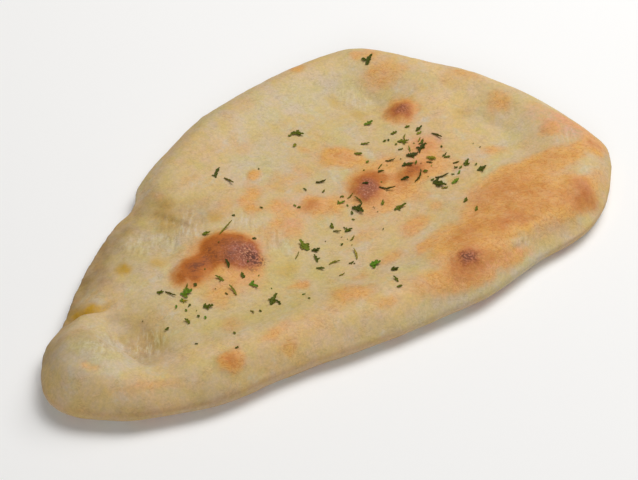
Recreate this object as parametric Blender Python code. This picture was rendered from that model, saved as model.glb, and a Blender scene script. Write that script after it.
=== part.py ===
"""A naan: one teardrop flatbread with a puffed rim, a rolled tip, blisters and shallow hollows.

Metres, +Z up. +X runs from the narrow tip to the broad end and +Y across to the far edge. The
origin is the centre of the bounding box at table height, and the bread lies on its flat foot.
Places are shares of LENGTH and WIDTH, measured from the tip end and from the near edge.
"""

import math

import bmesh
import bpy
import numpy as np
from mathutils import Vector
from mathutils.geometry import delaunay_2d_cdt

MM = 0.001

LENGTH = 280 * MM  # tip to broad end
WIDTH = 170 * MM  # near edge to far edge, over everything
BELLY = 6.5 * MM  # height of the line where the edge stands out furthest
MIDDLE = 10.5 * MM  # thickness of the bread inside its rim
RIM = 15.0 * MM  # thickness at the crest of the rim
RIM_CREST = 15 * MM  # how far in from the edge that crest runs
ROUND_OVER = 11 * MM  # how far in from the edge the upper side turns level
FOOT = 8 * MM  # how far in from the edge the underside meets the table, on average
FOOT_SWING = 3 * MM  # how much that changes round the edge, where the dough lifts or sags
FOOT_WAVES = 5  # lifts round the edge

EDGE_STEPS = 160  # points round the edge
UPPER_LOOPS = 7  # loops of faces from the belly line up to the level top
UNDER_LOOPS = 5  # loops of faces from the belly line down to the foot
LATTICE = 4.6 * MM  # spacing of the points over the top

# The edge in plan, anticlockwise from the tip, as shares of LENGTH and WIDTH.
OUTLINE = (
    (0.000, 0.345),
    (0.010, 0.265),
    (0.055, 0.190),
    (0.105, 0.140),
    (0.205, 0.085),
    (0.315, 0.070),
    (0.425, 0.035),
    (0.540, 0.010),
    (0.635, 0.000),
    (0.745, 0.025),
    (0.830, 0.030),
    (0.895, 0.070),
    (0.950, 0.145),
    (0.990, 0.230),
    (0.995, 0.330),
    (0.980, 0.495),
    (0.950, 0.620),
    (0.920, 0.730),
    (0.855, 0.875),
    (0.795, 0.980),
    (0.705, 1.005),
    (0.600, 1.000),
    (0.485, 0.965),
    (0.395, 0.900),
    (0.315, 0.825),
    (0.290, 0.775),
    (0.220, 0.710),
    (0.140, 0.605),
    (0.080, 0.505),
    (0.035, 0.450),
)

# What stands above or below the plain rim and middle: its centre as shares of LENGTH and WIDTH,
# its reach along and across itself, its turn in degrees, and its rise, which is negative for a hollow.
SWELLS = (
    # humps and rolls of the rim
    (0.070, 0.32, 24 * MM, 20 * MM, 0, 6.0 * MM),  # the rolled tip
    (0.330, 0.13, 75 * MM, 15 * MM, -4, 3.0 * MM),  # the near roll
    (0.790, 0.88, 26 * MM, 16 * MM, -20, 2.0 * MM),  # far corner
    (0.930, 0.60, 12 * MM, 26 * MM, 10, 2.0 * MM),  # rim of the broad end
    (0.460, 0.86, 55 * MM, 14 * MM, 14, 1.5 * MM),  # far rim
    # toasted bulges and blisters
    (0.345, 0.45, 34 * MM, 24 * MM, 30, 3.5 * MM),  # the raised ground of the great blister
    (0.800, 0.21, 34 * MM, 24 * MM, 10, 3.5 * MM),  # the broad toasted lobe
    (0.640, 0.11, 22 * MM, 16 * MM, 0, 2.5 * MM),  # the toasted bulge of the near rim
    (0.365, 0.45, 12 * MM, 9 * MM, 0, 1.5 * MM),  # the great blister
    (0.286, 0.46, 11 * MM, 8 * MM, 40, 1.2 * MM),  # the blister beside it
    (0.760, 0.65, 8 * MM, 8 * MM, 0, 1.8 * MM),  # the round blister on the far side
    (0.606, 0.45, 11 * MM, 10 * MM, 0, 1.8 * MM),  # the blister in the middle
    (0.700, 0.45, 12 * MM, 10 * MM, 0, 1.5 * MM),  # the low blister beside it
    # slopes and hollows
    (0.175, 0.62, 42 * MM, 15 * MM, 38, -4.5 * MM),  # the thin left shoulder
    (0.152, 0.34, 11 * MM, 24 * MM, 0, -7.0 * MM),  # behind the tip
    (0.290, 0.67, 9 * MM, 22 * MM, -12, -3.5 * MM),  # the dent that runs in from the notch
    (0.735, 0.75, 15 * MM, 17 * MM, 20, -4.0 * MM),  # in front of the far corner
    (0.665, 0.79, 16 * MM, 12 * MM, 0, -2.0 * MM),  # beside that hollow
    (0.865, 0.43, 14 * MM, 28 * MM, 0, -3.5 * MM),  # inside the broad end
    (0.790, 0.04, 36 * MM, 9 * MM, 3, -2.5 * MM),  # the low front of the broad end
    (0.450, 0.35, 52 * MM, 24 * MM, 0, -2.0 * MM),  # behind the near roll
)

CRUST_COLOUR = (0.58, 0.43, 0.24, 1.0)
CRUST_ROUGHNESS = 0.7


def place(along, across):
    """A place in plan from its shares of LENGTH and WIDTH."""
    return np.array(((along - 0.5) * LENGTH, (across - 0.5) * WIDTH))


def edge_line():
    """The edge in plan: EDGE_STEPS evenly spaced points of a smooth closed curve through OUTLINE.

    The curve is stretched to span exactly LENGTH by WIDTH, centred on the origin.
    """
    knots = np.array(OUTLINE)
    before, after, beyond = (np.roll(knots, shift, axis=0) for shift in (1, -1, -2))
    curve = []
    for t in np.arange(0, 1, 0.05):
        curve.append(
            knots
            + (after - before) * t / 2
            + (2 * before - 5 * knots + 4 * after - beyond) * t**2 / 2
            + (3 * knots - before - 3 * after + beyond) * t**3 / 2
        )
    curve = np.stack(curve, axis=1).reshape(-1, 2)
    low, high = curve.min(axis=0), curve.max(axis=0)
    curve = ((curve - low) / (high - low) - 0.5) * (LENGTH, WIDTH)
    closed = np.vstack((curve, curve[:1]))
    run = np.concatenate(([0], np.cumsum(np.linalg.norm(np.diff(closed, axis=0), axis=1))))
    stations = np.linspace(0, run[-1], EDGE_STEPS, endpoint=False)
    return np.stack([np.interp(stations, run, closed[:, axis]) for axis in (0, 1)], axis=1)


def inward(edge):
    """Unit vectors in plan that point into the bread from each point of the edge."""
    heading = np.roll(edge, -1, axis=0) - np.roll(edge, 1, axis=0)
    heading /= np.linalg.norm(heading, axis=1)[:, None]
    return np.stack((-heading[:, 1], heading[:, 0]), axis=1)


def depth_inside(points, edge):
    """A distance in from the edge that stays smooth down the middle, where two edges are as near.

    A straight edge gives every point the integral of 1 / distance^4, which is pi / 2 over depth^3.
    """
    step = np.linalg.norm(np.roll(edge, -1, axis=0) - edge, axis=1)
    gaps = np.linalg.norm(points[:, None] - edge[None], axis=2)
    return (math.pi / 2 / (step / gaps**4).sum(axis=1)) ** (1 / 3)


def thickness(points, depth):
    """Height of the top before its edge is rounded over: the middle, the rim and the swells."""
    ratio = depth / RIM_CREST
    height = MIDDLE + (RIM - MIDDLE) * (ratio * np.exp(1 - ratio)) ** 2
    for along, across, reach_along, reach_across, turn, rise in SWELLS:
        x, y = (points - place(along, across)).T
        cosine, sine = math.cos(math.radians(turn)), math.sin(math.radians(turn))
        u = (x * cosine + y * sine) / reach_along
        v = (y * cosine - x * sine) / reach_across
        height = height + rise * np.exp(-u * u - v * v)
    return height


def upper_loops(edge, into):
    """Loops in space from just above the belly line to the level top, up a quarter ellipse."""
    loops = []
    for turn in np.linspace(0, math.pi / 2, UPPER_LOOPS + 1)[1:]:
        depth = ROUND_OVER * (1 - math.cos(turn))
        plan = edge + into * depth
        height = BELLY + (thickness(plan, depth) - BELLY) * math.sin(turn)
        loops.append(np.column_stack((plan, height)))
    return loops


def under_loops(edge, into):
    """Loops in space from just below the belly line down to the foot, down a quarter ellipse."""
    share = np.arange(EDGE_STEPS) / EDGE_STEPS
    foot = FOOT + FOOT_SWING * np.sin(2 * math.pi * FOOT_WAVES * share)
    loops = []
    for turn in np.linspace(0, math.pi / 2, UNDER_LOOPS + 1)[1:]:
        plan = edge + into * (foot * (1 - math.cos(turn)))[:, None]
        loops.append(np.column_stack((plan, np.full(EDGE_STEPS, BELLY * (1 - math.sin(turn))))))
    return loops


def lattice_inside(loop, edge):
    """Points of a triangular lattice over the plan, clear of the loop that bounds them."""
    row = LATTICE * math.sqrt(3) / 2
    xs = np.arange(-LENGTH / 2, LENGTH / 2, LATTICE)
    ys = np.arange(-WIDTH / 2, WIDTH / 2, row)
    points = np.array([(x + LATTICE / 2 * (j % 2), y) for j, y in enumerate(ys) for x in xs])
    gaps = np.linalg.norm(points[:, None] - loop[None], axis=2)
    nearest = gaps.argmin(axis=1)
    behind = ((points - loop[nearest]) * inward(edge)[nearest]).sum(axis=1)
    return points[(behind > 0) & (gaps.min(axis=1) > 0.65 * LATTICE)]


def add_loop(mesh, loop):
    """Adds a closed loop of vertices and edges to the mesh, and returns its edges."""
    points = [mesh.verts.new(point) for point in loop]
    return [mesh.edges.new((a, b)) for a, b in zip(points, points[1:] + points[:1])]


def loop_points(edges):
    """The vertices of a loop that add_loop made, in order."""
    return [edge.verts[0] for edge in edges]


def add_top(mesh, rim, edge):
    """Fills the innermost upper loop with triangles over the lattice, lifted to the bread's top."""
    corners = loop_points(rim)
    loop = np.array([corner.co[:2] for corner in corners])
    plan = lattice_inside(loop, edge)
    heights = thickness(plan, depth_inside(plan, edge))
    inner = [mesh.verts.new((*point, height)) for point, height in zip(plan, heights)]
    flat = [Vector(point) for point in (*loop, *plan)]
    bound = [list(range(len(loop)))]
    _, _, faces, sources, _, _ = delaunay_2d_cdt(flat, [], bound, 1, 1e-7)
    everything = corners + inner
    for face in faces:
        mesh.faces.new([everything[sources[i][0]] for i in face])


def naan():
    """The whole bread as one closed mesh object."""
    edge = edge_line()
    into = inward(edge)
    mesh = bmesh.new()
    belly = add_loop(mesh, np.column_stack((edge, np.full(EDGE_STEPS, BELLY))))
    upper, lower = belly, belly
    for loop in upper_loops(edge, into):
        outer, upper = upper, add_loop(mesh, loop)
        bmesh.ops.bridge_loops(mesh, edges=outer + upper)
    for loop in under_loops(edge, into):
        outer, lower = lower, add_loop(mesh, loop)
        bmesh.ops.bridge_loops(mesh, edges=outer + lower)
    add_top(mesh, upper, edge)
    mesh.faces.new(loop_points(lower))
    bmesh.ops.recalc_face_normals(mesh, faces=mesh.faces)
    data = bpy.data.meshes.new("naan")
    mesh.to_mesh(data)
    mesh.free()
    data.shade_smooth()
    bread = bpy.data.objects.new("naan", data)
    bpy.context.collection.objects.link(bread)
    bread.data.materials.append(crust())
    return bread


def crust():
    """Pale baked dough."""
    material = bpy.data.materials.new("crust")
    material.use_nodes = True
    shader = material.node_tree.nodes["Principled BSDF"]
    shader.inputs["Base Color"].default_value = CRUST_COLOUR
    shader.inputs["Roughness"].default_value = CRUST_ROUGHNESS
    return material


def main():
    for old in list(bpy.data.objects):
        bpy.data.objects.remove(old)
    naan()


main()
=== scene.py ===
"""The looks of a naan: baked dough with toasted patches, dark blisters, buttery hollows and chopped herbs.

Metres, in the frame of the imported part: +X from the rolled tip to the broad end, +Y across to the far
edge, +Z up. A place on the bread is a pair of shares of its box: along it from the tip, and across it
from the near edge.
"""

import math

import bmesh
import bpy
import numpy as np
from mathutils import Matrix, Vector
from mathutils.bvhtree import BVHTree


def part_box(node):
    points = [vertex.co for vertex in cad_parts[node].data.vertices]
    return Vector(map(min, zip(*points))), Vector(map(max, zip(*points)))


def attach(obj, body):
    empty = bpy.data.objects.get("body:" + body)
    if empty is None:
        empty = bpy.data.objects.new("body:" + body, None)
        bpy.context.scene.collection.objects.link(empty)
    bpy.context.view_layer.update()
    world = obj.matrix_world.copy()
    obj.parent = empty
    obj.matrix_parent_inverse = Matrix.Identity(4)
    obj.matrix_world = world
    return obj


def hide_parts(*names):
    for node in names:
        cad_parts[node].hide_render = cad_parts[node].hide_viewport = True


MM = 0.001

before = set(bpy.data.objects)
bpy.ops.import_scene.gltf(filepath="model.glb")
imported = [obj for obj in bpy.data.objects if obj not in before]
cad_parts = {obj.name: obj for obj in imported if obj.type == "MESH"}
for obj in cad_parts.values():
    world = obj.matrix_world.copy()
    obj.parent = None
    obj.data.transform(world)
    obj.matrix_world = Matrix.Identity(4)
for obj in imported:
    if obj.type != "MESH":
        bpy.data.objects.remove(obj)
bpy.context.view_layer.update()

LOW, HIGH = (np.array(corner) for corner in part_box("naan"))

# ---------------------------------------------------------------------------------------------
# Places and noise
# ---------------------------------------------------------------------------------------------


def place(along, across):
    """A place in plan, in metres, from its shares of the bread's length and width."""
    return LOW[:2] + (HIGH - LOW)[:2] * (along, across)


def smooth_step(low, high, value):
    """0 below low, 1 above high, and a smooth rise between them."""
    t = np.clip((value - low) / (high - low), 0, 1)
    return t * t * (3 - 2 * t)


def gradient_noise(points, size, seed):
    """Smooth noise of about -1 to 1 at points in space, with one cell to each size metres."""
    draws = np.random.default_rng(seed)
    shuffle = draws.permutation(256)
    slopes = draws.normal(size=(256, 3))
    slopes /= np.linalg.norm(slopes, axis=1)[:, None]
    cell = points / size
    corner = np.floor(cell).astype(int)
    part = cell - corner
    ease = part**3 * (part * (part * 6 - 15) + 10)
    total = np.zeros(len(points))
    for step in np.ndindex(2, 2, 2):
        i, j, k = (corner + step).T & 255
        slope = slopes[shuffle[(shuffle[(shuffle[i] + j) & 255] + k) & 255]]
        weight = np.prod(np.where(step, ease, 1 - ease), axis=1)
        total += weight * (slope * (part - step)).sum(axis=1)
    return total * 1.7


def layered_noise(points, size, seed, layers=3):
    """Gradient noise with finer and weaker layers added, about -1 to 1."""
    return sum(gradient_noise(points, size / 2**n, seed + n) / 2**n for n in range(layers)) / 1.5


def distance_to_spot(plan, along, across, reach_along, reach_across, turn):
    """How far points in plan are from the middle of an oval, where 1 is its edge."""
    x, y = (plan - place(along, across)).T
    cosine, sine = math.cos(math.radians(turn)), math.sin(math.radians(turn))
    return np.hypot((x * cosine + y * sine) / reach_along, (y * cosine - x * sine) / reach_across)


def patches(plan, spots, softness):
    """A mask from 0 to 1 of ovals: (along, across, reaches in mm, turn, strength) each.

    An oval is even in its middle and fades over a share of its reach, softness, and a third as far again.
    """
    clear = np.ones(len(plan))
    for along, across, reach_along, reach_across, turn, strength in spots:
        ratio = distance_to_spot(plan, along, across, reach_along * MM, reach_across * MM, turn)
        clear *= 1 - strength * (1 - smooth_step(1 - softness, 1 + softness / 3, ratio))
    return 1 - clear


# ---------------------------------------------------------------------------------------------
# The bread's shape
# ---------------------------------------------------------------------------------------------

VOXEL = 1.0 * MM

# Blisters with a skin of their own: place, reaches in mm, turn, height in mm.
BLISTERS = (
    (0.350, 0.452, 12, 12, -30, 1.0),
    (0.283, 0.447, 9, 7, 8, 0.9),
    (0.762, 0.652, 8, 7, 20, 1.0),
    (0.605, 0.452, 8, 9, -20, 0.8),
    (0.690, 0.437, 8, 7, 0, 0.6),
    (0.742, 0.500, 7, 6, 25, 0.5),
    (0.235, 0.137, 7, 5, 0, 0.6),
    (0.640, 0.090, 11, 7, 0, 0.7),
    (0.872, 0.125, 7, 9, -20, 0.7),
    (0.770, 0.235, 18, 9, 8, 0.7),
    (0.800, 0.160, 18, 9, 5, 0.6),
    (0.515, 0.485, 6, 5, 0, 0.6),
    (0.535, 0.465, 10, 6, -20, 0.4),
    (0.465, 0.455, 8, 6, 30, 0.5),
    (0.610, 0.600, 9, 6, -30, 0.6),
    (0.478, 0.657, 4, 4, 0, 0.5),
    (0.445, 0.150, 9, 5, -30, 0.5),
    (0.930, 0.350, 5, 5, 20, 0.5),
)

# Long dents and folds in the skin: the two ends' places, width in mm, depth in mm.
FOLDS = (
    # the crease under the tip and the valley that goes on from it
    (0.076, 0.506, 0.152, 0.466, 1.5, 2.1),
    (0.145, 0.456, 0.130, 0.390, 1.1, 0.7),
    (0.130, 0.395, 0.128, 0.345, 1.2, 0.8),
    (0.127, 0.350, 0.139, 0.295, 1.2, 0.8),
    (0.139, 0.300, 0.136, 0.250, 1.4, 0.7),
    (0.105, 0.440, 0.117, 0.350, 3.0, 1.0),
    (0.117, 0.350, 0.150, 0.245, 3.4, 1.0),
    (0.135, 0.420, 0.175, 0.270, 8.0, 1.4),
    (0.055, 0.310, 0.078, 0.268, 1.5, 0.5),
    (0.080, 0.330, 0.100, 0.280, 1.4, 0.3),
    # folds that run in from the notch
    (0.275, 0.760, 0.320, 0.600, 2.8, 0.9),
    (0.300, 0.740, 0.350, 0.590, 2.2, 0.7),
    (0.325, 0.700, 0.370, 0.580, 1.8, 0.4),
    (0.240, 0.680, 0.270, 0.560, 2.6, 0.5),
    (0.362, 0.625, 0.338, 0.530, 0.9, 0.5),
    (0.352, 0.615, 0.326, 0.525, 0.8, 0.3),
    (0.257, 0.641, 0.264, 0.576, 0.8, 0.4),
    (0.242, 0.625, 0.258, 0.565, 0.7, 0.3),
    (0.314, 0.595, 0.268, 0.505, 0.8, 0.4),
    (0.325, 0.575, 0.292, 0.480, 0.8, 0.4),
    (0.305, 0.655, 0.330, 0.580, 0.9, 0.5),
    (0.275, 0.555, 0.300, 0.500, 0.7, 0.3),
    # the far side and the broad end
    (0.690, 0.800, 0.700, 0.700, 3.0, 0.6),
    (0.740, 0.790, 0.755, 0.700, 2.5, 0.5),
    (0.810, 0.560, 0.860, 0.540, 2.5, 0.5),
    (0.860, 0.520, 0.885, 0.420, 2.5, 0.5),
    # cracks beside the toasted bulge
    (0.690, 0.078, 0.725, 0.078, 1.0, 0.6),
    (0.695, 0.058, 0.735, 0.058, 1.0, 0.5),
    (0.725, 0.140, 0.740, 0.115, 1.0, 0.4),
)

DENT_COUNT = 90  # pinholes and dimples over the top
BUBBLE_COUNT = 150  # small bubbles under the skin


def apply_modifiers(piece):
    """Turns what a piece's modifiers make into its mesh."""
    graph = bpy.context.evaluated_depsgraph_get()
    mesh = bpy.data.meshes.new_from_object(piece.evaluated_get(graph))
    piece.modifiers.clear()
    piece.data = mesh


def even_copy(node, name):
    """A copy of a CAD node as a closed mesh of small even faces."""
    welded = bmesh.new()
    welded.from_mesh(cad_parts[node].data)
    bmesh.ops.remove_doubles(welded, verts=welded.verts, dist=0.001 * MM)
    mesh = bpy.data.meshes.new(name)
    welded.to_mesh(mesh)
    welded.free()
    piece = bpy.data.objects.new(name, mesh)
    bpy.context.scene.collection.objects.link(piece)
    remesh = piece.modifiers.new("even", "REMESH")
    remesh.mode = "VOXEL"
    remesh.voxel_size = VOXEL
    smooth = piece.modifiers.new("smooth", "SMOOTH")
    smooth.factor = 0.5
    smooth.iterations = 8
    apply_modifiers(piece)
    return piece


def positions(mesh):
    """A mesh's vertices as an array."""
    flat = np.empty(len(mesh.vertices) * 3)
    mesh.vertices.foreach_get("co", flat)
    return flat.reshape(-1, 3)


def normals(mesh):
    """A mesh's vertex normals as an array."""
    flat = np.empty(len(mesh.vertices) * 3)
    mesh.vertex_normals.foreach_get("vector", flat)
    return flat.reshape(-1, 3)


def move_vertices(mesh, points):
    """Puts a mesh's vertices at points."""
    mesh.vertices.foreach_set("co", points.ravel())
    mesh.update()


def add_mask(mesh, name, values):
    """Stores one number for each vertex, for the materials to read."""
    layer = mesh.attributes.new(name, "FLOAT", "POINT")
    layer.data.foreach_set("value", values.astype(np.float32))


def wandering(points, reach, size, seed):
    """Plan positions pushed about by noise, so that what is laid out in ovals gets a natural edge."""
    shift = [layered_noise(points, size, seed + 10 * axis) for axis in (0, 1)]
    return points[:, :2] + reach * np.stack(shift, axis=1)


def fold_depth(plan):
    """Depth of the folds at points in plan, in metres."""
    depth = np.zeros(len(plan))
    for a_along, a_across, b_along, b_across, width, deep in FOLDS:
        start, end = place(a_along, a_across), place(b_along, b_across)
        way = end - start
        share = np.clip((plan - start) @ way / (way @ way), 0, 1)
        gap = np.linalg.norm(plan - start - share[:, None] * way, axis=1)
        taper = np.sin(math.pi * (0.1 + 0.8 * share))
        depth += deep * MM * taper * np.exp(-((gap / (width * MM)) ** 2))
    return depth


def blister_height(plan):
    """Height of the large blisters at points in plan: flat-topped, with a shallow moat round each."""
    height = np.zeros(len(plan))
    for along, across, reach_along, reach_across, turn, high in BLISTERS:
        ratio = distance_to_spot(plan, along, across, reach_along * MM, reach_across * MM, turn)
        height += high * MM * (1 - smooth_step(0.45, 1.05, ratio))
        height -= 0.25 * high * MM * np.exp(-(((ratio - 1.15) / 0.18) ** 2))
    return height


def scattered_bumps(points, count, radius, height, seed):
    """Round bumps of random size at random places over the plan; a negative height makes dents."""
    draws = np.random.default_rng(seed)
    relief = np.zeros(len(points))
    for _ in range(count):
        centre = place(*draws.uniform(0.02, 0.98, 2))
        reach = radius * draws.uniform(0.5, 1.4)
        stretch = draws.uniform(0.6, 1.0)
        turn = draws.uniform(0, math.pi)
        near = np.abs(points[:, :2] - centre).max(axis=1) < reach * 2
        x, y = (points[near, :2] - centre).T
        u = x * math.cos(turn) + y * math.sin(turn)
        v = (y * math.cos(turn) - x * math.sin(turn)) / stretch
        relief[near] += height * draws.uniform(0.4, 1.2) * np.exp(-(u * u + v * v) / reach**2 * 2)
    return relief


def shape_bread(piece):
    """Gives the even copy its lumps, blisters, folds, bubbles and wrinkles, and its colour masks."""
    mesh = piece.data
    points, out = positions(mesh), normals(mesh)
    plan = wandering(points, 1.3 * MM, 7 * MM, 11)
    top = smooth_step(-0.2, 0.5, out[:, 2])
    foot = smooth_step(-0.5, -0.9, out[:, 2])
    masks = colour_masks(points, out)

    relief = 0.45 * MM * layered_noise(points, 26 * MM, 21)
    relief += 0.20 * MM * layered_noise(points, 9 * MM, 31)
    relief += top * blister_height(plan)
    relief -= top * fold_depth(plan)
    relief += top * scattered_bumps(points, BUBBLE_COUNT, 3.2 * MM, 0.28 * MM, 41)
    relief -= top * scattered_bumps(points, DENT_COUNT, 2.0 * MM, 0.20 * MM, 51)
    skin = 1 - np.abs(layered_noise(points, 3.2 * MM, 61))
    relief += (0.04 + 0.16 * masks["toast"] + 0.20 * masks["char"]) * MM * (skin - 0.6)
    relief += 0.60 * masks["tan_and_shade"] * MM * layered_noise(points, 7 * MM, 91)
    relief *= 1 - 0.75 * foot
    moved = points + out * relief[:, None]
    moved[:, 2] = np.maximum(moved[:, 2], 0)
    move_vertices(mesh, moved)
    for name, values in masks.items():
        add_mask(mesh, name, values)
    mesh.shade_smooth()


# ---------------------------------------------------------------------------------------------
# Where the colours are
# ---------------------------------------------------------------------------------------------

# Each patch: place, reaches in mm, turn, strength.
TOASTED = (
    # the broad toasted lobe and the bulge beside it
    (0.765, 0.235, 22, 12, 8, 0.90),
    (0.840, 0.250, 27, 11, 0, 0.70),
    (0.900, 0.240, 12, 10, 0, 0.50),
    (0.795, 0.155, 28, 15, 3, 0.85),
    (0.760, 0.118, 18, 6, 3, 0.65),
    (0.862, 0.118, 15, 9, 15, 0.85),
    (0.650, 0.140, 22, 15, 0, 0.90),
    (0.720, 0.130, 14, 9, 0, 0.80),
    (0.705, 0.200, 13, 8, 20, 0.60),
    (0.640, 0.060, 24, 8, 0, 0.90),
    (0.700, 0.045, 10, 3, 0, 0.40),
    (0.555, 0.070, 16, 6, -10, 0.50),
    (0.800, 0.085, 24, 8, 8, 0.25),
    # the broad end and the far side
    (0.965, 0.240, 8, 8, 0, 0.60),
    (0.972, 0.330, 6, 18, 15, 0.55),
    (0.940, 0.240, 10, 9, 0, 0.40),
    (0.925, 0.135, 9, 7, 0, 0.35),
    (0.930, 0.350, 6, 6, 20, 0.70),
    (0.940, 0.440, 6, 6, 20, 0.30),
    (0.905, 0.520, 8, 8, 0, 0.50),
    (0.900, 0.660, 5, 12, 20, 0.40),
    (0.870, 0.665, 8, 8, 0, 0.25),
    (0.790, 0.800, 16, 12, 0, 0.45),
    (0.820, 0.940, 6, 8, -30, 0.60),
    (0.800, 0.880, 5, 6, -30, 0.45),
    (0.775, 0.890, 5, 4, 0, 0.50),
    (0.762, 0.655, 11, 9.5, 20, 1.00),
    (0.673, 0.955, 5, 6, 20, 0.65),
    (0.545, 0.885, 10, 8, 0, 0.25),
    (0.500, 0.860, 8, 8, 0, 0.20),
    (0.493, 0.760, 8, 6, 0, 0.25),
    (0.322, 0.730, 4, 5, 0, 0.35),
    (0.385, 0.725, 5, 4, 0, 0.25),
    # the middle
    (0.610, 0.600, 11, 8, -30, 0.75),
    (0.630, 0.560, 9, 7, -40, 0.60),
    (0.520, 0.600, 20, 8, 0, 0.30),
    (0.478, 0.657, 5, 5, 0, 0.65),
    (0.575, 0.675, 4, 3, 60, 0.35),
    (0.440, 0.585, 13, 6, 55, 0.60),
    (0.470, 0.520, 10, 7, -10, 0.55),
    (0.400, 0.600, 12, 6, 40, 0.35),
    (0.515, 0.485, 7, 6, 0, 0.90),
    (0.535, 0.465, 13, 8, -20, 0.60),
    (0.465, 0.455, 10, 7, 30, 0.45),
    (0.445, 0.475, 5, 4, 30, 0.35),
    (0.605, 0.455, 11, 13, -20, 0.80),
    (0.625, 0.395, 14, 8, 0, 0.70),
    (0.655, 0.460, 12, 12, 0, 0.60),
    (0.680, 0.430, 14, 8, 0, 0.85),
    (0.740, 0.500, 10, 9, 30, 0.80),
    (0.720, 0.440, 10, 8, 0, 0.60),
    (0.735, 0.410, 12, 6, 0, 0.50),
    (0.665, 0.505, 10, 6, 0, 0.45),
    (0.590, 0.375, 10, 6, 0, 0.40),
    (0.665, 0.360, 8, 8, 0, 0.35),
    (0.620, 0.275, 11, 6, 8, 0.60),
    (0.675, 0.300, 4, 4, 0, 0.40),
    (0.595, 0.185, 7, 3.5, 25, 0.60),
    (0.545, 0.215, 9, 5, 15, 0.45),
    (0.485, 0.200, 6, 4, 0, 0.35),
    (0.405, 0.265, 6, 5, 0, 0.55),
    (0.545, 0.325, 8, 5, 0, 0.35),
    (0.830, 0.390, 8, 5, -20, 0.45),
    # round the great blister
    (0.287, 0.445, 13, 10, 10, 1.00),
    (0.348, 0.448, 16, 14, -30, 1.00),
    (0.343, 0.490, 9, 6, 0, 0.80),
    (0.295, 0.345, 9, 9, 0, 0.50),
    (0.345, 0.330, 11, 7, 0, 0.30),
    (0.350, 0.375, 12, 7, 0, 0.50),
    (0.420, 0.450, 8, 9, 20, 0.35),
    (0.275, 0.235, 8, 6, 0, 0.30),
    # the near rim and the tip
    (0.234, 0.138, 6.5, 5.5, 0, 0.85),
    (0.445, 0.150, 12, 8, -30, 0.55),
    (0.480, 0.088, 6, 3, -20, 0.50),
    (0.310, 0.150, 7, 4, 0, 0.40),
    (0.320, 0.105, 5, 3, 0, 0.35),
    (0.350, 0.130, 30, 8, 0, 0.25),
    (0.065, 0.285, 5, 2, -40, 0.40),
    (0.120, 0.180, 16, 3, -20, 0.35),
)

CHARRED = (
    (0.285, 0.440, 12, 8, 5, 0.90),
    (0.316, 0.455, 6, 5, 0, 0.30),
    (0.342, 0.466, 13, 11, -30, 0.90),
    (0.366, 0.422, 10, 11, -20, 0.85),
    (0.764, 0.652, 10, 9, 30, 0.58),
    (0.607, 0.455, 10, 13, -20, 0.70),
    (0.635, 0.475, 7, 7, 0, 0.50),
    (0.688, 0.437, 11, 6, 0, 0.60),
    (0.745, 0.500, 9, 7, 20, 0.25),
    (0.235, 0.137, 6, 5, 0, 0.35),
    (0.624, 0.074, 13, 8, 0, 0.62),
    (0.875, 0.125, 7, 10, -20, 0.35),
    (0.845, 0.087, 9, 6, 10, 0.35),
    (0.885, 0.082, 8, 5, 20, 0.25),
    (0.965, 0.238, 6, 5, 0, 0.35),
    (0.725, 0.127, 6, 4, 0, 0.45),
    (0.513, 0.487, 6, 5, 0, 0.35),
)

# Bits of skin burnt almost black.
SCORCHED = (
    (0.376, 0.400, 3.5, 6, 40, 0.95),
    (0.362, 0.375, 3, 3, 0, 0.50),
    (0.628, 0.080, 6, 3.5, -20, 0.75),
    (0.762, 0.652, 3.5, 3, 0, 0.50),
    (0.690, 0.440, 4, 3, 0, 0.30),
    (0.295, 0.440, 3, 2, 0, 0.35),
)

# Skin that is flushed pink, and mauve where it is charred.
PINK = (
    (0.350, 0.370, 12, 7, 0, 0.60),
    (0.368, 0.420, 9, 8, -20, 1.00),
    (0.345, 0.435, 7, 6, 0, 0.20),
    (0.770, 0.650, 8, 7, 0, 0.85),
    (0.745, 0.505, 11, 9, 30, 1.00),
    (0.712, 0.470, 9, 6, 0, 0.50),
    (0.605, 0.440, 8, 10, -20, 0.90),
    (0.630, 0.080, 9, 5, 0, 0.60),
    (0.625, 0.045, 20, 5, 0, 0.55),
    (0.710, 0.045, 12, 3, 0, 0.70),
    (0.875, 0.120, 6, 7, 0, 0.80),
    (0.952, 0.340, 10, 20, 15, 1.00),
    (0.500, 0.520, 16, 8, 0, 0.30),
    (0.465, 0.450, 9, 7, 30, 0.50),
    (0.720, 0.255, 12, 8, 20, 0.35),
    (0.620, 0.280, 10, 6, 8, 0.40),
    (0.110, 0.120, 22, 5, -20, 0.30),
)

# Rim darkened partly by a browner, dull crust and partly by painted shade where it faces away from the light:
# the left shoulder, the notch and the underside of the tip, the hollow behind the tip and the broad end.
TAN_AND_PAINTED_SHADE = (
    (0.040, 0.430, 7, 12, -35, 0.80),
    (0.095, 0.530, 14, 9, 44, 1.00),
    (0.150, 0.605, 15, 9, 42, 1.00),
    (0.205, 0.665, 14, 9, 38, 0.85),
    (0.270, 0.720, 14, 9, 30, 0.60),
    (0.115, 0.500, 8, 4, 0, 0.50),
    (0.165, 0.560, 10, 8, 42, 0.50),
    (0.255, 0.670, 8, 7, 0, 0.50),
    (0.310, 0.655, 8, 12, -20, 0.50),
    (0.245, 0.585, 20, 13, 40, 0.40),
    (0.350, 0.610, 14, 10, 20, 0.40),
    (0.070, 0.350, 14, 14, 0, 0.70),
    (0.430, 0.430, 8, 9, 20, 0.25),
    (0.900, 0.700, 14, 8, -60, 0.25),
    (0.970, 0.260, 8, 24, 10, 0.40),
    (0.158, 0.380, 8, 12, 10, 0.60),
    (0.163, 0.300, 8, 9, 0, 0.60),
    (0.148, 0.430, 3, 5, 0, 0.50),
    (0.141, 0.350, 3, 6, 0, 0.50),
    (0.148, 0.275, 3, 6, -10, 0.50),
    (0.090, 0.140, 30, 6, -30, 0.50),
    (0.220, 0.070, 34, 5, -16, 0.50),
)

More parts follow.
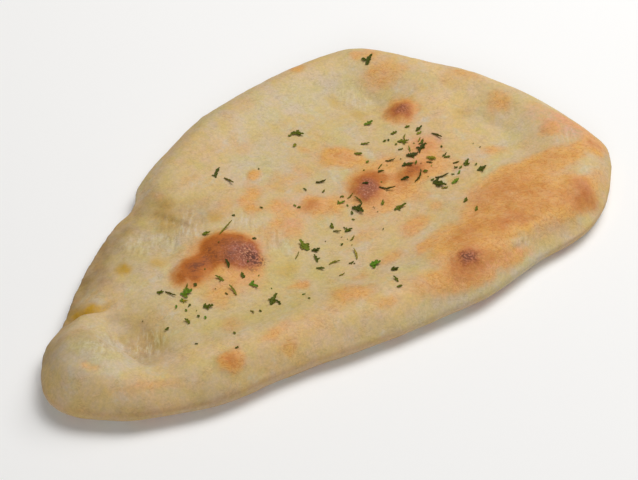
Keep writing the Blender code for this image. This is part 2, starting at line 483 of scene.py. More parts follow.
# Skin that dried in fine pleats.
CREPED = (
    (0.425, 0.440, 10, 13, 40, 1.00),
    (0.400, 0.530, 10, 8, 40, 0.60),
    (0.315, 0.590, 14, 12, 30, 0.80),
    (0.250, 0.600, 12, 10, 40, 0.60),
    (0.165, 0.320, 12, 10, 0, 0.90),
    (0.100, 0.330, 14, 12, 0, 0.70),
    (0.625, 0.070, 16, 7, 0, 0.80),
    (0.720, 0.065, 10, 5, 0, 1.00),
    (0.700, 0.130, 12, 8, 0, 0.60),
    (0.840, 0.180, 26, 14, 0, 0.60),
    (0.945, 0.300, 8, 16, 0, 0.70),
    (0.770, 0.300, 14, 8, 0, 0.40),
    (0.720, 0.780, 16, 12, 0, 0.40),
    (0.300, 0.020, 60, 6, -16, 0.40),
)

# Painted highlight: lighter skin where the light falls on the crest of the near roll, the far rim and the
# broad end.
PAINTED_HIGHLIGHTS = (
    (0.120, 0.290, 10, 8, -30, 0.50),
    (0.205, 0.205, 18, 7, -26, 0.70),
    (0.340, 0.118, 26, 8, -20, 0.90),
    (0.500, 0.072, 26, 6, -12, 0.90),
    (0.630, 0.232, 9, 5, 0, 0.50),
    (0.700, 0.066, 10, 3, 0, 0.80),
    (0.665, 0.895, 30, 6, 0, 0.50),
    (0.890, 0.690, 24, 9, -55, 0.90),
    (0.885, 0.440, 10, 10, 0, 0.70),
    (0.850, 0.610, 16, 10, -40, 0.60),
    (0.850, 0.400, 12, 7, 0, 0.50),
    (0.530, 0.840, 22, 8, 10, 0.50),
    (0.560, 0.250, 22, 12, 0, 0.50),
    (0.650, 0.150, 18, 12, 0, 0.30),
    (0.300, 0.270, 14, 8, 0, 0.30),
    (0.490, 0.250, 12, 7, 0, 0.30),
)

# Where melted butter has soaked in: mustard yellow folds, and a greenish film in the middle.
BUTTER_FOLDS = (
    (0.116, 0.490, 8, 2.8, -8, 1.00),
    (0.132, 0.478, 9, 2.5, -10, 0.80),
    (0.203, 0.545, 4, 5, 0, 0.90),
    (0.250, 0.517, 3.5, 3.5, 0, 0.50),
    (0.372, 0.575, 5, 4.5, 0, 0.65),
    (0.690, 0.800, 4, 5, 0, 0.45),
    (0.705, 0.720, 4, 5, 0, 0.35),
    (0.700, 0.770, 5, 5, 0, 0.30),
    (0.850, 0.555, 6, 4, 0, 0.30),
    (0.405, 0.330, 7, 5, 0, 0.45),
    (0.275, 0.250, 4, 4, 0, 0.30),
    (0.315, 0.660, 6, 14, -20, 0.35),
    (0.115, 0.510, 8, 4, 0, 0.35),
)

BUTTER_FILM = (
    (0.390, 0.330, 16, 12, 0, 0.80),
    (0.330, 0.235, 24, 10, 0, 0.60),
    (0.430, 0.300, 16, 16, 0, 0.60),
    (0.360, 0.200, 16, 7, 0, 0.50),
    (0.580, 0.130, 7, 6, 0, 0.60),
    (0.860, 0.430, 14, 12, 0, 0.25),
    (0.500, 0.400, 8, 8, 0, 0.40),
    (0.680, 0.250, 8, 8, 0, 0.35),
    (0.560, 0.250, 14, 8, 0, 0.35),
    (0.700, 0.740, 26, 16, 0, 0.40),
    (0.260, 0.300, 20, 14, 0, 0.40),
    (0.560, 0.760, 20, 12, 0, 0.25),
)

# Pale dry dough: the floury tip, stretched skin beside blisters, and smooth skin on the far side.
PALE = (
    (0.100, 0.290, 16, 12, 0, 0.80),
    (0.112, 0.330, 7, 9, 20, 0.60),
    (0.118, 0.275, 8, 7, -20, 0.60),
    (0.130, 0.400, 12, 10, 0, 0.40),
    (0.420, 0.440, 9, 11, 40, 0.45),
    (0.490, 0.650, 16, 8, 0, 0.50),
    (0.480, 0.700, 14, 8, 0, 0.50),
    (0.870, 0.400, 14, 8, 0, 0.60),
    (0.930, 0.270, 9, 6, 0, 0.50),
    (0.550, 0.150, 12, 8, 0, 0.50),
    (0.705, 0.070, 9, 3, 0, 0.95),
    (0.725, 0.800, 20, 14, 0, 0.45),
    (0.660, 0.660, 10, 8, 0, 0.40),
    (0.600, 0.860, 46, 14, 0, 0.70),
    (0.510, 0.700, 20, 14, 0, 0.70),
    (0.890, 0.440, 10, 8, 0, 0.30),
    (0.629, 0.232, 9, 4, 0, 0.60),
    (0.700, 0.015, 34, 7, 4, 0.90),
    (0.540, 0.020, 30, 5, -6, 0.60),
    (0.030, 0.300, 8, 12, 0, 0.25),
    (0.250, 0.580, 20, 13, 40, 0.50),
    (0.968, 0.290, 7, 24, 8, 0.35),
    (0.065, 0.350, 12, 12, 0, 0.70),
    (0.210, 0.450, 14, 12, 0, 0.45),
    (0.300, 0.570, 12, 8, 30, 0.30),
)


def colour_masks(points, out):
    """Where each finish lies, from 0 to 1 at each vertex, with the painted highlight and the painted shade
    among them.
    """
    top = smooth_step(-0.1, 0.45, out[:, 2])
    broad = wandering(points, 3.0 * MM, 10 * MM, 71)
    tight = wandering(points, 2.0 * MM, 5 * MM, 81)
    return {
        "toast": top * patches(broad, TOASTED, 0.75),
        "char": top * patches(tight, CHARRED, 1.0),
        "pink": top * patches(tight, PINK, 0.9),
        "scorch": top * patches(tight, SCORCHED, 0.9),
        "tan_and_shade": patches(broad, TAN_AND_PAINTED_SHADE, 0.9),
        "light": top * patches(broad, PAINTED_HIGHLIGHTS, 0.9),
        "crepe": patches(broad, CREPED, 0.9),
        "butter": top * patches(tight, BUTTER_FOLDS, 0.7),
        "film": top * patches(broad, BUTTER_FILM, 0.9),
        "pale": np.maximum(patches(broad, PALE, 0.8), 0.35 * (1 - top)),
        "side": smooth_step(0.68, 0.18, out[:, 2]),
        "under": smooth_step(-0.45, -0.9, out[:, 2]),
    }


# ---------------------------------------------------------------------------------------------
# Materials
# ---------------------------------------------------------------------------------------------


def linear(red, green, blue):
    """A colour given in display values from 0 to 255, as the linear one that shaders take."""
    shares = np.array((red, green, blue)) / 255
    light = np.where(shares <= 0.04045, shares / 12.92, ((shares + 0.055) / 1.055) ** 2.4)
    return (*light, 1.0)


class Shader:
    """A node tree round one Principled shader, with short calls for the nodes used here."""

    def __init__(self, name):
        self.material = bpy.data.materials.new(name)
        self.material.use_nodes = True
        self.tree = self.material.node_tree
        self.principled = self.tree.nodes["Principled BSDF"]
        self.coordinates = self.tree.nodes.new("ShaderNodeTexCoord").outputs["Object"]

    def connect(self, value, socket):
        """Links an output to a socket, or writes a plain value on it."""
        if isinstance(value, bpy.types.NodeSocket):
            self.tree.links.new(value, socket)
        else:
            socket.default_value = value

    def noise(self, size, detail=3.0, roughness=0.55, distortion=0.0, stretch=None):
        """Noise of about 0 to 1 whose largest features are size metres across."""
        texture = self.tree.nodes.new("ShaderNodeTexNoise")
        texture.inputs["Scale"].default_value = 1 / size
        texture.inputs["Detail"].default_value = detail
        texture.inputs["Roughness"].default_value = roughness
        texture.inputs["Distortion"].default_value = distortion
        self.tree.links.new(self.stretched(stretch), texture.inputs["Vector"])
        return texture.outputs["Fac"]

    def stretched(self, stretch):
        """The object's coordinates, stretched by a factor along a direction in plan: (turn, factor)."""
        if stretch is None:
            return self.coordinates
        mapping = self.tree.nodes.new("ShaderNodeMapping")
        mapping.vector_type = "TEXTURE"
        mapping.inputs["Rotation"].default_value[2] = math.radians(stretch[0])
        mapping.inputs["Scale"].default_value[0] = stretch[1]
        self.tree.links.new(self.coordinates, mapping.inputs["Vector"])
        return mapping.outputs["Vector"]

    def mask(self, name):
        """A number stored on the mesh."""
        attribute = self.tree.nodes.new("ShaderNodeAttribute")
        attribute.attribute_name = name
        return attribute.outputs["Fac"]

    def math(self, operation, first, second=0.0, clamp=False):
        """One sum on two numbers."""
        node = self.tree.nodes.new("ShaderNodeMath")
        node.operation = operation
        node.use_clamp = clamp
        self.connect(first, node.inputs[0])
        self.connect(second, node.inputs[1])
        return node.outputs[0]

    def span(self, value, low, high, to_low=0.0, to_high=1.0):
        """A value's range from low to high carried smoothly to another range."""
        node = self.tree.nodes.new("ShaderNodeMapRange")
        node.interpolation_type = "SMOOTHSTEP"
        for socket, given in zip(node.inputs, (value, low, high, to_low, to_high)):
            self.connect(given, socket)
        return node.outputs["Result"]

    def mix(self, factor, first, second, blend="MIX"):
        """Two colours mixed by a factor."""
        node = self.tree.nodes.new("ShaderNodeMix")
        node.data_type = "RGBA"
        node.blend_type = blend
        self.connect(factor, node.inputs["Factor"])
        self.connect(first, node.inputs["A"])
        self.connect(second, node.inputs["B"])
        return node.outputs["Result"]

    def ramp(self, factor, *stops):
        """A colour ramp through (position, colour) stops."""
        node = self.tree.nodes.new("ShaderNodeValToRGB")
        while len(node.color_ramp.elements) < len(stops):
            node.color_ramp.elements.new(1.0)
        for element, (position, colour) in zip(node.color_ramp.elements, stops):
            element.position = position
            element.color = colour
        self.connect(factor, node.inputs["Fac"])
        return node.outputs["Color"]

    def bump(self, height, distance, strength=1.0, under=None):
        """A surface roughened by a height from 0 to 1 that stands for distance metres."""
        node = self.tree.nodes.new("ShaderNodeBump")
        node.inputs["Distance"].default_value = distance
        self.connect(strength, node.inputs["Strength"])
        self.connect(height, node.inputs["Height"])
        if under is not None:
            self.connect(under, node.inputs["Normal"])
        return node.outputs["Normal"]

    def set(self, **inputs):
        """Sets the Principled shader's inputs; an underscore stands for a space."""
        for name, value in inputs.items():
            self.connect(value, self.principled.inputs[name.replace("_", " ")])


CREAM = linear(203, 179, 130)
WARM_CREAM = linear(207, 175, 124)
DRY = linear(197, 186, 151)
FLOUR = linear(213, 206, 179)
SIDE = linear(196, 159, 109)
LIGHT = linear(222, 188, 136)
TAN = linear(150, 120, 75)
BUTTERED = linear(195, 176, 113)
SOAKED = linear(190, 146, 34)
FLUSHED = linear(214, 154, 122)
BLUSH = linear(210, 163, 104)
GOLD = linear(219, 167, 97)
AMBER = linear(203, 138, 72)
BAKED = linear(182, 102, 28)
RUST = linear(160, 86, 30)
PLUM = linear(156, 88, 64)
SPECK = linear(84, 42, 28)
ASH = linear(198, 140, 112)


def crust_material():
    """Dough as it bakes: cream, blushing to gold and amber, dark on blisters, yellow with butter."""
    s = Shader("crust")
    toast, char, scorch, butter = s.mask("toast"), s.mask("char"), s.mask("scorch"), s.mask("butter")
    film, pale, pink, tan_and_shade, light = (s.mask(name) for name in ("film", "pale", "pink", "tan_and_shade", "light"))
    crepe = s.mask("crepe")
    broad = s.noise(26 * MM, 4)
    blotches = s.noise(13 * MM, 5, 0.65, 0.5)
    middle = s.noise(7 * MM, 4, 0.6)
    oily = s.noise(8 * MM, 5, 0.7)
    fine = s.noise(1.7 * MM, 4, 0.65)
    grit = s.noise(0.9 * MM, 3, 0.6)
    pleats = s.noise(1.5 * MM, 3, 0.5, 0.3, (56, 4.0))
    wrinkles = s.math("ABSOLUTE", s.math("SUBTRACT", s.noise(2.8 * MM, 4, 0.55, 1.2, (-30, 1.8)), 0.5))

    colour = s.mix(s.span(broad, 0.35, 0.65), CREAM, WARM_CREAM)
    colour = s.mix(s.span(blotches, 0.52, 0.66, 0.0, 0.65), colour, DRY)
    colour = s.mix(s.span(blotches, 0.46, 0.32, 0.0, 0.50), colour, BUTTERED)
    # Steep sides take a darker, warmer colour than the top.
    colour = s.mix(s.mask("side"), colour, SIDE)
    # Painted highlight: the lit crest of the near roll, the far rim and the broad end are lightened towards
    # LIGHT.
    colour = s.mix(s.math("MULTIPLY", light, s.span(middle, 0.30, 0.60, 0.6, 1.0)), colour, LIGHT)
    # Painted shade together with a browner crust: the rim that faces away from the light is darkened towards
    # TAN.
    colour = s.mix(s.math("MULTIPLY", tan_and_shade, s.span(middle, 0.30, 0.65, 0.6, 1.0)), colour, TAN)
    colour = s.mix(s.math("MULTIPLY", s.span(middle, 0.50, 0.75), 0.35), colour, BLUSH)
    colour = s.mix(s.math("MULTIPLY", film, s.span(middle, 0.30, 0.60, 0.5, 0.95)), colour, BUTTERED)
    colour = s.mix(s.math("MULTIPLY", pale, s.span(middle, 0.35, 0.65, 0.6, 1.0)), colour, DRY)
    colour = s.mix(s.math("MULTIPLY", crepe, s.span(pleats, 0.50, 0.64, 0.0, 0.55)), colour, FLOUR)
    colour = s.mix(s.math("MULTIPLY", crepe, s.span(pleats, 0.44, 0.34, 0.0, 0.40)), colour, TAN)
    colour = s.mix(s.math("MULTIPLY", butter, s.span(fine, 0.25, 0.6, 0.7, 1.0)), colour, SOAKED)

    ragged = s.math("MULTIPLY", s.math("SUBTRACT", middle, 0.5), 0.9)
    ragged = s.math("ADD", ragged, s.math("MULTIPLY", s.math("SUBTRACT", fine, 0.5), 0.45))
    browned = s.math("MULTIPLY", toast, s.math("ADD", ragged, 1.0), clamp=True)
    in_the_wrinkles = s.math("MULTIPLY", s.span(wrinkles, 0.0, 0.04, 0.30, 0.0), s.span(middle, 0.4, 0.6))
    colour = s.mix(in_the_wrinkles, colour, TAN)
    golden = s.ramp(browned, (0.0, BLUSH), (0.25, BLUSH), (0.65, GOLD), (1.0, AMBER))
    golden = s.mix(s.span(wrinkles, 0.0, 0.045, 0.45, 0.0), golden, BAKED)
    golden = s.mix(s.span(wrinkles, 0.08, 0.18, 0.0, 0.40), golden, BLUSH)
    colour = s.mix(s.span(browned, 0.0, 0.60), colour, golden)
    colour = s.mix(s.math("MULTIPLY", pink, s.span(fine, 0.34, 0.66, 0.25, 0.8)), colour, FLUSHED)

    dark = s.math("MULTIPLY", char, s.math("ADD", s.math("MULTIPLY", ragged, 1.3), 1.0), clamp=True)
    burnt = s.ramp(dark, (0.0, AMBER), (0.10, AMBER), (0.50, BAKED), (0.90, RUST))
    heart = s.math("MULTIPLY", pink, s.span(dark, 0.25, 0.75))
    burnt = s.mix(heart, burnt, PLUM)
    burnt = s.mix(s.math("MULTIPLY", heart, s.span(grit, 0.50, 0.62, 0.0, 0.80)), burnt, ASH)
    veins = s.math("MULTIPLY", s.span(dark, 0.30, 0.90), s.span(wrinkles, 0.05, 0.0, 0.0, 0.55))
    burnt = s.mix(veins, burnt, SPECK)
    colour = s.mix(s.span(dark, 0.0, 0.60), colour, burnt)
    colour = s.mix(s.math("MULTIPLY", scorch, s.span(grit, 0.56, 0.44)), colour, SPECK)

    flecks = s.noise(8 * MM, 5, 0.6, 0.6)
    baked = s.math("ADD", s.math("MULTIPLY", flecks, 0.5), s.math("MULTIPLY", blotches, 0.5))
    baked = s.math("ADD", baked, s.math("MULTIPLY", s.math("SUBTRACT", broad, 0.5), 0.8))
    below = s.ramp(baked, (0.34, DRY), (0.46, CREAM), (0.54, BLUSH), (0.62, AMBER), (0.72, RUST))
    colour = s.mix(s.mask("under"), colour, below)
    shade = s.math("ADD", s.math("MULTIPLY", fine, 0.5), s.math("MULTIPLY", grit, 0.5))
    shade = s.span(shade, 0.32, 0.68, 0.91, 1.09)
    tint = s.tree.nodes.new("ShaderNodeCombineXYZ")
    s.connect(shade, tint.inputs["X"])
    s.connect(shade, tint.inputs["Y"])
    s.connect(s.math("MULTIPLY", shade, s.span(oily, 0.30, 0.70, 1.22, 0.78)), tint.inputs["Z"])
    colour = s.mix(1.0, colour, tint.outputs[0], "MULTIPLY")

    rough = s.span(s.math("ADD", butter, s.math("MULTIPLY", film, 0.6)), 0.0, 1.2, 0.66, 0.44)
    rough = s.math("ADD", rough, s.math("MULTIPLY", s.math("SUBTRACT", fine, 0.5), 0.25))
    skin = s.bump(s.noise(2.4 * MM, 4, 0.55, 0.4), 0.30 * MM, 0.35)
    skin = s.bump(wrinkles, 0.60 * MM, s.math("ADD", s.math("MULTIPLY", toast, 0.8), 0.2), skin)
    skin = s.bump(pleats, 0.45 * MM, s.math("MULTIPLY", crepe, 0.5), skin)
    skin = s.bump(grit, 0.15 * MM, 0.35, skin)
    s.set(Base_Color=colour, Roughness=rough, Normal=skin, Subsurface_Weight=0.12)
    s.set(Subsurface_Radius=(1.0, 0.55, 0.28), Subsurface_Scale=1.6 * MM, Specular_IOR_Level=0.35)
    return s.material


# ---------------------------------------------------------------------------------------------
# Herbs
# ---------------------------------------------------------------------------------------------

LEAF_THICK = 0.18 * MM

# Chopped leaf: place, length and width in mm, turn in degrees, lobes, and its green, which goes from
# dark bluish (0) over dark (0.3) and mid green (0.55) to bright (0.8) and olive (1).
LEAVES = (
    # round the great blister
    (0.223, 0.427, 3.0, 1.8, -45, 3, 0.25),
    (0.253, 0.387, 5.0, 3.8, -30, 3, 0.62),
    (0.243, 0.372, 3.2, 1.6, -40, 2, 1.00),
    (0.267, 0.325, 4.2, 2.6, -20, 3, 0.45),
    (0.228, 0.311, 3.2, 1.4, 80, 1, 0.40),
    (0.311, 0.386, 4.0, 2.2, 96, 2, 0.45),
    (0.346, 0.326, 4.2, 2.4, -38, 3, 0.75),
    (0.335, 0.410, 3.8, 1.3, 55, 1, 0.10),
    (0.341, 0.366, 3.0, 1.7, 88, 1, 0.30),
    (0.351, 0.255, 6.6, 3.0, 44, 3, 0.35),
    (0.356, 0.237, 3.4, 1.6, 60, 2, 0.30),
    (0.396, 0.452, 1.8, 1.1, -30, 1, 0.20),
    (0.398, 0.554, 1.6, 1.0, -30, 1, 0.40),
    (0.341, 0.534, 3.4, 1.9, 5, 1, 0.68),
    # the far side
    (0.425, 0.715, 6.4, 2.4, 63, 2, 0.20),
    (0.589, 0.733, 6.0, 3.2, -30, 3, 0.45),
    (0.576, 0.735, 2.0, 1.2, 0, 1, 0.50),
    (0.569, 0.696, 2.0, 1.6, 0, 1, 0.95),
    (0.702, 0.662, 4.6, 2.0, -20, 1, 0.70),
    (0.783, 0.858, 6.4, 3.0, 56, 2, 0.30),
    # the middle
    (0.456, 0.378, 6.2, 3.6, 100, 3, 0.50),
    (0.466, 0.350, 3.6, 2.6, -30, 2, 0.20),
    (0.457, 0.325, 4.6, 1.7, 68, 2, 0.40),
    (0.450, 0.290, 3.8, 1.1, -34, 1, 0.30),
    (0.493, 0.258, 2.4, 1.3, -30, 2, 0.45),
    (0.517, 0.213, 4.6, 3.6, -35, 3, 0.70),
    (0.529, 0.161, 3.2, 2.2, -20, 3, 0.20),
    (0.517, 0.126, 3.4, 1.5, 65, 2, 0.45),
    (0.511, 0.103, 2.4, 1.1, -15, 1, 0.50),
    (0.516, 0.398, 2.8, 1.9, 85, 2, 0.40),
    (0.532, 0.365, 3.4, 2.2, 12, 3, 0.40),
    (0.496, 0.499, 1.8, 1.4, 0, 2, 0.50),
    (0.527, 0.544, 2.2, 1.2, -55, 2, 0.45),
    (0.556, 0.452, 3.6, 1.6, 0, 2, 0.60),
    (0.572, 0.410, 5.8, 3.2, -38, 3, 0.20),
    (0.558, 0.408, 1.8, 1.2, 90, 1, 0.35),
    (0.609, 0.466, 2.8, 1.6, -20, 2, 0.00),
    (0.609, 0.390, 2.8, 1.3, 50, 1, 0.45),
    (0.626, 0.353, 6.0, 2.4, 0, 3, 0.50),
    # the thick of them
    (0.644, 0.578, 3.6, 1.4, -40, 1, 0.50),
    (0.667, 0.600, 4.0, 1.2, -20, 1, 0.55),
    (0.697, 0.580, 1.8, 1.3, 0, 2, 0.50),
    (0.721, 0.590, 3.2, 1.3, -14, 1, 0.40),
    (0.748, 0.590, 2.4, 1.2, -20, 1, 0.35),
    (0.720, 0.548, 5.2, 2.6, -38, 3, 0.50),
    (0.760, 0.565, 4.0, 2.0, 10, 2, 0.25),
    (0.754, 0.549, 2.6, 1.5, -30, 2, 1.00),
    (0.705, 0.524, 2.4, 1.0, -35, 1, 0.50),
    (0.710, 0.484, 5.6, 3.0, -40, 3, 0.05),
    (0.736, 0.500, 4.4, 2.6, 30, 3, 0.12),
    (0.743, 0.517, 3.8, 1.6, 60, 2, 0.30),
    (0.703, 0.455, 2.6, 1.0, 50, 1, 0.30),
    (0.690, 0.462, 5.0, 2.4, -10, 2, 0.15),
    (0.669, 0.427, 3.6, 1.2, -16, 1, 0.05),
    (0.704, 0.416, 2.2, 1.1, -20, 1, 0.45),
    (0.733, 0.452, 4.4, 2.6, -36, 2, 0.90),
    (0.724, 0.440, 2.8, 0.9, -30, 1, 0.20),
    (0.755, 0.430, 3.0, 1.3, -34, 1, 0.50),
    (0.751, 0.385, 1.8, 1.3, 0, 2, 0.35),
    (0.757, 0.376, 2.2, 1.1, 12, 1, 0.45),
    (0.771, 0.382, 4.2, 2.6, 40, 3, 0.35),
    (0.747, 0.361, 2.2, 1.1, 0, 1, 0.60),
    (0.780, 0.335, 4.6, 2.8, -22, 3, 0.25),
    (0.709, 0.362, 6.6, 3.8, -34, 3, 0.12),
    (0.729, 0.338, 4.0, 2.8, -10, 2, 0.82),
    (0.707, 0.338, 3.0, 1.0, -34, 1, 0.95),
    (0.713, 0.264, 3.2, 1.9, 20, 2, 0.35),
    (0.711, 0.215, 2.8, 1.1, 24, 1, 0.50),
    (0.650, 0.486, 2.4, 0.9, -45, 1, 0.35),
)

# Cut stalk and thin shreds of leaf: place, length and width in mm, turn, and green.
SHREDS = (
    (0.234, 0.408, 5.4, 0.7, -64, 0.20),
    (0.261, 0.406, 2.4, 0.8, 25, 0.50),
    (0.316, 0.335, 5.6, 1.1, 70, 0.60),
    (0.314, 0.246, 2.8, 0.6, -62, 0.60),
    (0.368, 0.521, 9.0, 0.8, 37, 0.60),
    (0.435, 0.673, 5.4, 0.9, -67, 0.35),
    (0.436, 0.357, 3.8, 0.6, 26, 0.60),
    (0.474, 0.291, 5.0, 0.7, 8, 0.60),
    (0.512, 0.278, 7.0, 0.8, 53, 1.00),
    (0.465, 0.233, 2.6, 0.7, -8, 0.50),
    (0.516, 0.375, 3.4, 0.7, -50, 0.30),
    (0.528, 0.332, 3.2, 0.7, 8, 0.50),
    (0.555, 0.540, 4.6, 0.9, -44, 0.15),
    (0.548, 0.509, 2.0, 0.8, -7, 0.40),
    (0.576, 0.455, 3.4, 0.7, 4, 0.50),
    (0.583, 0.430, 4.8, 0.7, 78, 0.30),
    (0.630, 0.420, 7.0, 1.0, -51, 0.05),
    (0.674, 0.503, 4.4, 0.7, -46, 0.20),
    (0.654, 0.503, 3.4, 0.6, 26, 0.45),
    (0.689, 0.404, 6.6, 0.9, 4, 0.20),
    (0.718, 0.511, 3.4, 0.9, 46, 0.85),
    (0.729, 0.492, 3.8, 1.2, 50, 0.00),
    (0.727, 0.562, 3.6, 0.7, 78, 0.60),
    (0.776, 0.517, 5.6, 1.0, -60, 0.15),
    (0.759, 0.400, 3.0, 0.8, -14, 0.30),
    (0.756, 0.440, 2.6, 0.6, -10, 0.30),
    (0.744, 0.528, 2.6, 0.6, 45, 0.90),
    (0.719, 0.375, 6.4, 0.8, -28, 0.05),
)

# Crumbs of herb.
CRUMBS = (
    (0.273, 0.400), (0.241, 0.375), (0.229, 0.366), (0.245, 0.353), (0.236, 0.343), (0.302, 0.336),
    (0.323, 0.237), (0.213, 0.231), (0.252, 0.297), (0.245, 0.310), (0.198, 0.323), (0.252, 0.155),
    (0.265, 0.203), (0.394, 0.203), (0.394, 0.228), (0.444, 0.541), (0.492, 0.507), (0.561, 0.435),
    (0.552, 0.388), (0.531, 0.376), (0.507, 0.332), (0.576, 0.314), (0.644, 0.537), (0.704, 0.576),
    (0.707, 0.551), (0.646, 0.487), (0.752, 0.440), (0.781, 0.361), (0.737, 0.367), (0.764, 0.474),
    (0.703, 0.382), (0.491, 0.673), (0.566, 0.469),
)  # fmt: skip

# Where the finest crumbs lie: place, reaches in mm, how many.
DUST = (
    (0.720, 0.460, 24, 18, 14),
    (0.600, 0.420, 20, 14, 4),
    (0.480, 0.320, 20, 14, 6),
    (0.300, 0.330, 30, 16, 8),
)


def leaf_blades(length, width, lobes, draws):
    """The blades of one scrap of leaf: (foot on its midrib, turn in radians, length, width) each."""
    blades = [(-0.5 * length, 0.0, length, width * (1.05 if lobes == 1 else 0.70))]
    side = draws.choice((-1, 1))
    for _ in range(lobes - 1):
        foot = length * draws.uniform(-0.40, -0.05)
        reach = width * draws.uniform(0.70, 0.95)
        lean = side * math.radians(draws.uniform(35, 65))
        blades.append((foot, lean, reach, reach * draws.uniform(0.5, 0.7)))
        side = -side
    return blades


def add_blade(scrap, origin, turn, length, width, thick, green, draws):
    """Adds one blade to a list of vertices and faces, in the scrap's own (u, v, lift) space.

    A blade is a row of cross-sections along a midrib: left edge, rib and right edge, above and below.
    """
    vertices, faces, greens = scrap
    stations = max(4, int(length / (0.55 * MM)) + 2)
    bend, curl = draws.uniform(-0.5, 0.5), draws.uniform(0.10, 0.45)
    cup = draws.uniform(0.10, 0.50)
    teeth = draws.uniform(0.9, 1.5) * MM
    starts = {side: draws.uniform() for side in (-1, 1)}
    first = len(vertices)
    for i in range(stations):
        share = i / (stations - 1)
        swell = math.sin(math.pi * (0.12 + 0.82 * share)) ** 0.7
        heading = turn + bend * share
        u = origin[0] + length * share * math.cos(heading)
        v = origin[1] + length * share * math.sin(heading)
        lift = curl * length * share**2 * 0.5
        for side in (-1, 0, 1):
            notch = (starts.get(side, 0) + share * length / teeth) % 1
            half = 0.5 * width * swell * (1.25 - 0.75 * notch) * draws.uniform(0.6, 1.3) * side
            rise = lift + cup * abs(half) + draws.uniform(0, 0.10) * MM
            x, y = u - half * math.sin(heading), v + half * math.cos(heading)
            vertices.append((x, y, rise + thick))
            vertices.append((x, y, rise))
            greens += [green + draws.uniform(-0.08, 0.08)] * 2
    for i in range(stations - 1):
        a, b = first + 6 * i, first + 6 * (i + 1)
        for j in (0, 2):
            faces.append((a + j, b + j, b + j + 2, a + j + 2))
            faces.append((a + j + 3, b + j + 3, b + j + 1, a + j + 1))
        faces.append((a + 1, b + 1, b, a))
        faces.append((a + 4, b + 4, b + 5, a + 5))
    last = first + 6 * (stations - 1)
    faces.append((first, first + 2, first + 3, first + 1))
    faces.append((first + 2, first + 4, first + 5, first + 3))
    faces.append((last + 1, last + 3, last + 2, last))
    faces.append((last + 3, last + 5, last + 4, last + 2))


def lay_scraps(name, scraps, surface):
    """One mesh of many scraps, each laid on the bread: (place in plan, turn, vertices, faces, greens)."""
    points, faces, greens = [], [], []
    for spot, turn, (scrap_points, scrap_faces, scrap_greens) in scraps:
        first = len(points)
        cosine, sine = math.cos(turn), math.sin(turn)
        for u, v, lift in scrap_points:
            x, y = spot[0] + u * cosine - v * sine, spot[1] + u * sine + v * cosine
            hit, normal, _, _ = surface.ray_cast(Vector((x, y, 1.0)), Vector((0, 0, -1)))
            points.append(hit + normal * (lift + 0.06 * MM))
        faces += [tuple(first + i for i in face) for face in scrap_faces]
        greens += scrap_greens
    mesh = bpy.data.meshes.new(name)
    mesh.from_pydata(points, [], faces)
    mesh.update()
    add_mask(mesh, "green", np.array(greens))
    piece = bpy.data.objects.new(name, mesh)
    bpy.context.scene.collection.objects.link(piece)
    return piece


def leaf_scraps(draws):
    """The scraps of chopped leaf in LEAVES."""
    for along, across, length, width, turn, lobes, green in LEAVES:
        scrap = ([], [], [])
        for foot, blade_turn, blade_length, blade_width in leaf_blades(length * MM, width * MM, lobes, draws):
            shade = green + draws.uniform(-0.12, 0.12)
            add_blade(scrap, (foot, 0.0), blade_turn, blade_length, blade_width, LEAF_THICK, shade, draws)
        yield place(along, across), math.radians(turn), scrap


def shred_scraps(draws):
    """The stalks and shreds in SHREDS."""
    for along, across, length, width, turn, green in SHREDS:
        scrap = ([], [], [])
        add_blade(scrap, (-0.5 * length * MM, 0.0), 0.0, length * MM, width * MM, 0.30 * MM, green, draws)
        yield place(along, across), math.radians(turn), scrap


def crumb_scrap(length, draws):
    """A crumb of leaf about as long as wide."""
    scrap = ([], [], [])
    width = length * draws.uniform(0.5, 0.9)
    add_blade(scrap, (-0.5 * length, 0.0), 0.0, length, width, 0.16 * MM, draws.uniform(0.1, 0.8), draws)
    return scrap


def crumb_scraps(draws):
    """The crumbs in CRUMBS, and finer ones at random in the places in DUST."""
    for along, across in CRUMBS:
        turn = draws.uniform(0, 2 * math.pi)
        yield place(along, across), turn, crumb_scrap(draws.uniform(1.1, 1.8) * MM, draws)
    for along, across, reach_along, reach_across, count in DUST:
        for _ in range(count):
            spot = place(along, across) + draws.normal(size=2) * 0.5 * (reach_along * MM, reach_across * MM)
            yield spot, draws.uniform(0, 2 * math.pi), crumb_scrap(draws.uniform(0.5, 0.9) * MM, draws)


def herb_material(name, *greens):
    """Fresh chopped leaf in greens from dark to olive, with darker mottling."""
    s = Shader(name)
    stops = [(share, colour) for share, colour in zip((0.0, 0.3, 0.55, 0.8, 1.0), greens)]
    colour = s.ramp(s.mask("green"), *stops)
    mottle = s.noise(0.9 * MM, 3, 0.6)
    colour = s.mix(s.span(mottle, 0.35, 0.65, 0.0, 0.45), colour, greens[0])
    s.set(Base_Color=colour, Roughness=s.span(mottle, 0.3, 0.7, 0.50, 0.65))
    s.set(Normal=s.bump(s.noise(0.5 * MM, 3), 0.12 * MM, 0.5), Specular_IOR_Level=0.10)
    return s.material


def herbs(surface):
    """The three kinds of chopped herb, each one mesh."""
    leaf = herb_material(
        "leaf",
        linear(64, 66, 20),
        linear(76, 86, 12),
        linear(116, 118, 28),
        linear(92, 142, 34),
        linear(152, 134, 36),
    )
    stalk = herb_material(
        "stalk",
        linear(66, 62, 18),
        linear(90, 86, 16),
        linear(136, 128, 38),
        linear(116, 128, 30),
        linear(166, 146, 54),
    )
    kinds = (
        ("herb_leaves", leaf_scraps(np.random.default_rng(5)), leaf),
        ("herb_shreds", shred_scraps(np.random.default_rng(6)), stalk),
        ("herb_crumbs", crumb_scraps(np.random.default_rng(7)), leaf),
    )
    for name, scraps, material in kinds:
        piece = lay_scraps(name, scraps, surface)
        piece.data.materials.append(material)
        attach(piece, "root")


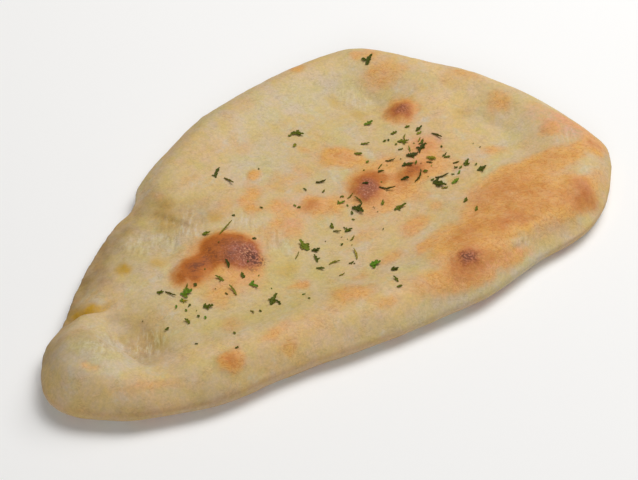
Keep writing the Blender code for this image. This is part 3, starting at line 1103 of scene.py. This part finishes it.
# ---------------------------------------------------------------------------------------------
# Studio
# ---------------------------------------------------------------------------------------------

CAMERA_TURN = -34.5  # degrees round the bread from straight in front
CAMERA_RISE = 45.0  # degrees above the table
CAMERA_DISTANCE = 0.646
CAMERA_LENS = 85.0
LOOK_AT = Vector((-0.0033, -0.0189, 0.0070))


def direction(turn, rise):
    """A unit vector towards a turn and a rise in degrees, where turn 0 is straight in front."""
    a, e = math.radians(turn), math.radians(rise)
    return Vector((math.sin(a) * math.cos(e), -math.cos(a) * math.cos(e), math.sin(e)))


def add_camera():
    """The camera at the viewing angle of the picture."""
    data = bpy.data.cameras.new("camera")
    data.lens = CAMERA_LENS
    data.clip_start = 0.01
    camera = bpy.data.objects.new("camera", data)
    back = direction(CAMERA_TURN, CAMERA_RISE)
    camera.location = LOOK_AT + back * CAMERA_DISTANCE
    camera.rotation_euler = back.to_track_quat("Z", "Y").to_euler()
    bpy.context.scene.collection.objects.link(camera)
    bpy.context.scene.camera = camera


def add_softbox(name, turn, rise, distance, size, power, colour):
    """A square soft light that faces the bread."""
    data = bpy.data.lights.new(name, "AREA")
    data.size = size
    data.energy = power
    data.color = colour
    light = bpy.data.objects.new(name, data)
    towards = direction(turn, rise)
    light.location = towards * distance
    light.rotation_euler = towards.to_track_quat("Z", "Y").to_euler()
    bpy.context.scene.collection.objects.link(light)


def add_floor():
    """A plain pale floor under the bread."""
    mesh = bpy.data.meshes.new("floor")
    half = 6.0
    corners = [(-half, -half, 0), (half, -half, 0), (half, half, 0), (-half, half, 0)]
    mesh.from_pydata(corners, [], [(0, 1, 2, 3)])
    floor = bpy.data.objects.new("floor", mesh)
    bpy.context.scene.collection.objects.link(floor)
    s = Shader("floor")
    s.set(Base_Color=(0.92, 0.92, 0.92, 1.0), Roughness=0.9)
    mesh.materials.append(s.material)


def studio():
    """Pale floor, a faint white surround, two soft lights from the far right and a broad fill."""
    scene = bpy.context.scene
    scene.view_settings.view_transform = "Standard"
    world = bpy.data.worlds.new("surround")
    world.use_nodes = True
    world.node_tree.nodes["Background"].inputs["Color"].default_value = (1.0, 1.0, 1.0, 1.0)
    world.node_tree.nodes["Background"].inputs["Strength"].default_value = 0.12
    scene.world = world
    add_softbox("key", 95, 50, 1.7, 0.95, 15.5, (1.0, 0.985, 0.96))
    add_softbox("back", 120, 65, 1.9, 1.1, 14.4, (1.0, 0.985, 0.96))
    add_softbox("fill", -40, 33, 3.4, 1.9, 35.0, (0.98, 0.99, 1.0))
    add_floor()
    add_camera()


def main():
    bread = even_copy("naan", "bread")
    shape_bread(bread)
    bread.data.materials.clear()
    bread.data.materials.append(crust_material())
    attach(bread, "root")
    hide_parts("naan")
    mesh = bread.data
    herbs(BVHTree.FromPolygons([v.co for v in mesh.vertices], [p.vertices for p in mesh.polygons]))
    studio()


main()
